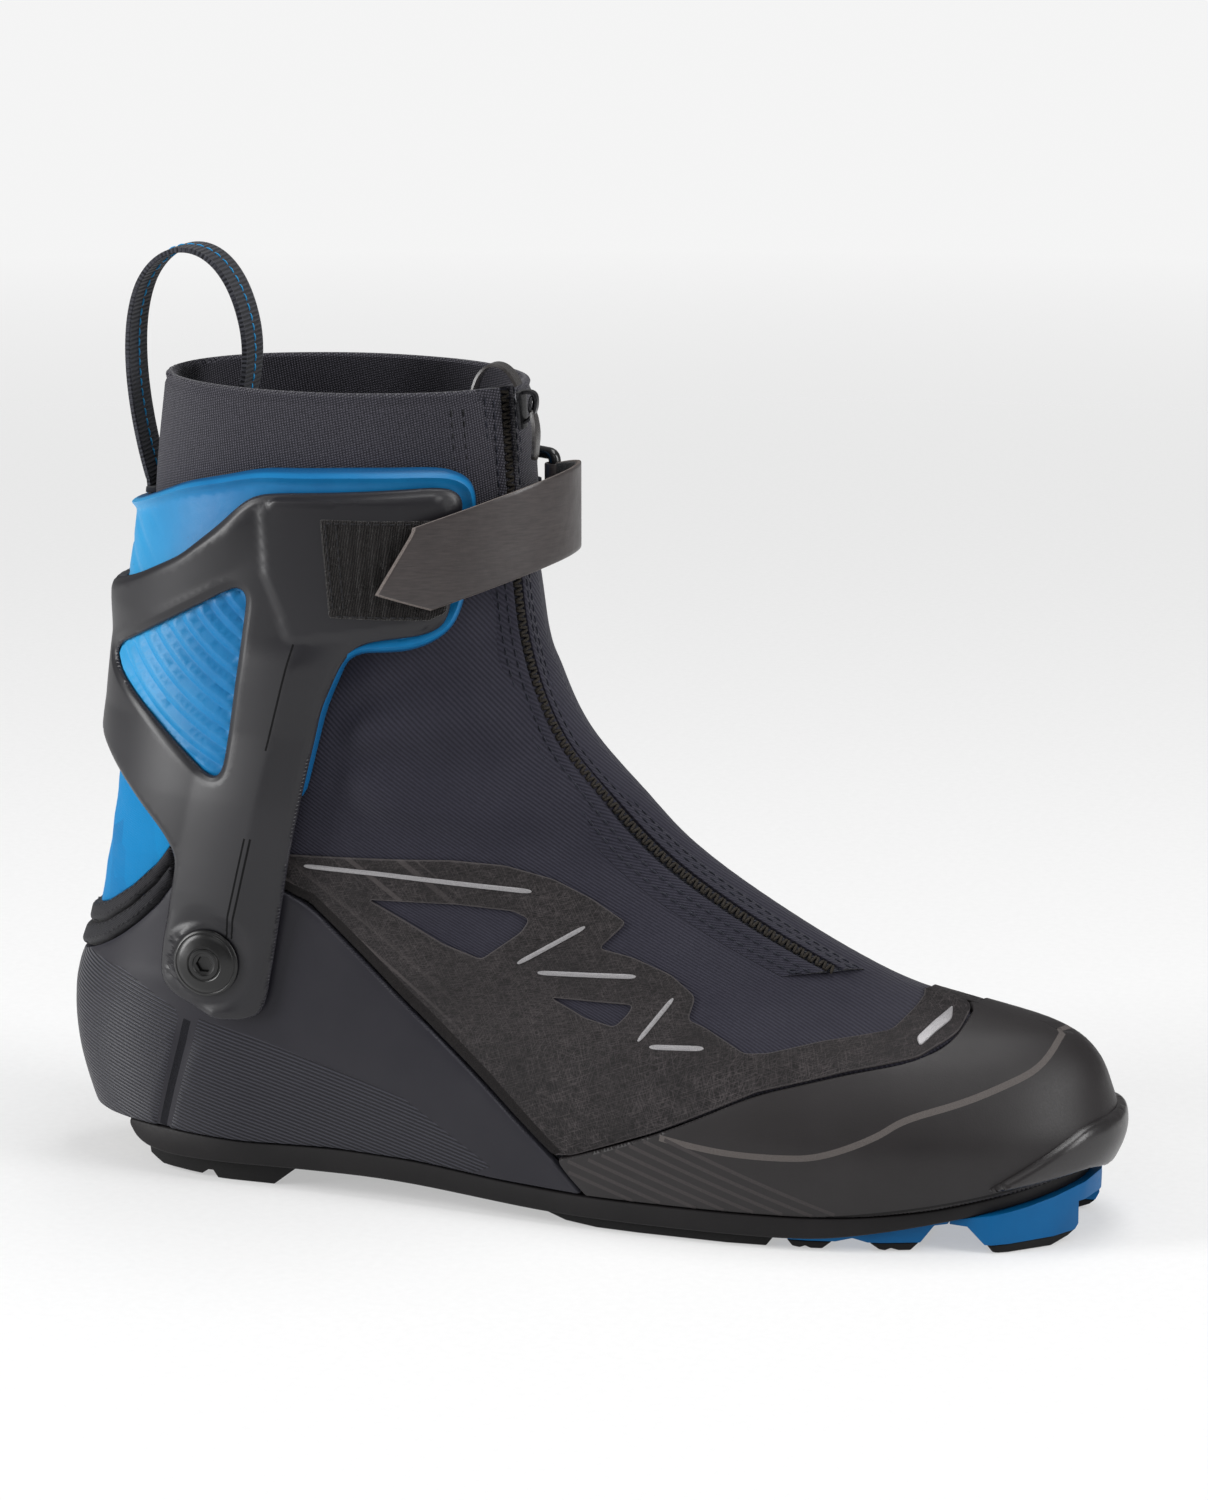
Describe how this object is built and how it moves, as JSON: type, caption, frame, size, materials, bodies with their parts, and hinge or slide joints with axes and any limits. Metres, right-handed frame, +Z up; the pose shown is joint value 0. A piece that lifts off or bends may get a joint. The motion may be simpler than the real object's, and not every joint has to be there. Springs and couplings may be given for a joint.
{
  "type": "cross country ski boot",
  "caption": "Right-foot skating boot for cross country skiing with a zipped soft upper, stiff sole with toe bar, moulded heel shell, hinged cuff and closing strap.",
  "frame": {"origin": "centre of the boot's bounding box in plan, on the ground plane under the sole", "axes": "+X to the toe, +Y to the inner (medial) side of this right boot, +Z up"},
  "size_m": [0.3003, 0.0936, 0.2573],
  "materials": {
    "rubber_black": "matt",
    "sole_black": "satin",
    "sole_blue": "satin",
    "steel": "brushed",
    "board": "matt",
    "insole_foam": "felt",
    "heel_moulding": "fine ribbed",
    "rand_rubber": "matt",
    "bumper_rubber": "polished",
    "softshell_navy": "diagonal twill",
    "overlay_film": "scratched weave film",
    "reflective": "reflective film",
    "band_black": "rolled and stitched",
    "lining": "brushed fleece",
    "cord_grey": "braided",
    "webbing_black": "ribbed webbing",
    "rivet_black": "glossy",
    "washer_nylon": "smooth",
    "frame_charcoal": "fine matt",
    "pad_blue": "soft moulded foam",
    "knit_charcoal": "speckled knit",
    "softshell_cyan": "smooth stretch fabric",
    "zip_tape": "woven tape",
    "zip_coil": "coil",
    "loop_tape": "fuzzy loop pile",
    "ring_plastic": "smooth",
    "strap_pu": "smooth coated",
    "hook_tape": "hook pile",
    "zip_metal": "satin",
    "puller_rubber": "satin"
  },
  "bodies": {
    "boot": {"heel_block": "rubber_black", "midsole": "sole_black", "forefoot_tread": "rubber_black", "forefoot_plate": "sole_blue", "forefoot_lugs": "rubber_black", "toe_block": "sole_blue", "toe_rubber": "rubber_black", "toe_bar": "steel", "lasting_board": "board", "insole": "insole_foam", "heel_shell": "heel_moulding", "toe_rand": "rand_rubber", "toe_bumper": "bumper_rubber", "upper": "softshell_navy", "overlay_lateral": "overlay_film", "overlay_medial": "overlay_film", "reflective_trim": "reflective", "heel_band_lower": "band_black", "heel_band_upper": "band_black", "bootie_liner": "lining", "lace": "cord_grey", "lace_guides": "webbing_black", "pivot_rivet_lateral": "rivet_black", "pivot_rivet_medial": "rivet_black", "pivot_washers": "washer_nylon", "pivot_nuts": "steel"},
    "cuff": {"cuff_frame": "frame_charcoal", "cuff_pad": "pad_blue", "knit_collar": "knit_charcoal", "shin_panel": "softshell_navy", "ankle_gaiter": "softshell_navy", "ankle_lining": "lining", "achilles_panel": "softshell_cyan", "tongue": "lining", "zip_tape": "zip_tape", "zip_teeth": "zip_coil", "loop_patch": "loop_tape", "ring_tab": "webbing_black", "pull_loop_tabs": "webbing_black"},
    "strap_ring": {"strap_ring": "ring_plastic"},
    "strap": {"strap": "strap_pu", "strap_hook": "hook_tape"},
    "zip_slider": {"zip_slider": "zip_metal"},
    "zip_puller": {"zip_puller": "puller_rubber"},
    "pull_loop": {"pull_loop": "webbing_black"}
  },
  "joints": [
    {"name": "cuff_flex", "type": "hinge", "parent": "boot", "child": "cuff", "pos_m": [-0.0977, 0, 0.066], "axis": [0, 1, 0], "range_deg": [-5, 20], "stiffness_Nm_per_rad": 2, "deforming": ["ankle_gaiter", "ankle_lining", "achilles_panel", "tongue", "zip_tape", "zip_teeth"]},
    {"name": "ring_swing", "type": "hinge", "parent": "cuff", "child": "strap_ring", "pos_m": [-0.0286, 0.03817, 0.183], "axis": [0, 0, 1], "range_deg": [0, 18]},
    {"name": "strap_open", "type": "hinge", "parent": "strap_ring", "child": "strap", "pos_m": [-0.0202, 0.03315, 0.184], "axis": [0, 0, 1], "range_deg": [0, 110]},
    {"name": "zip_slide", "type": "slide", "parent": "cuff", "child": "zip_slider", "axis": [0.0624, 0, -0.9981], "range_m": [0, 0.05]},
    {"name": "puller_swing", "type": "hinge", "parent": "zip_slider", "child": "zip_puller", "pos_m": [-0.0135, -0.01035, 0.22132], "axis": [0, 1, 0], "range_deg": [-140, 0]},
    {"name": "loop_tip", "type": "hinge", "parent": "cuff", "child": "pull_loop", "pos_m": [-0.1197, 0.00165, 0.19], "axis": [0, 1, 0], "range_deg": [-15, 12], "stiffness_Nm_per_rad": 0.05}
  ],
  "couplings": [
    {"joint": "ring_swing", "follows": "strap_open", "ratio": 0.15}
  ]
}
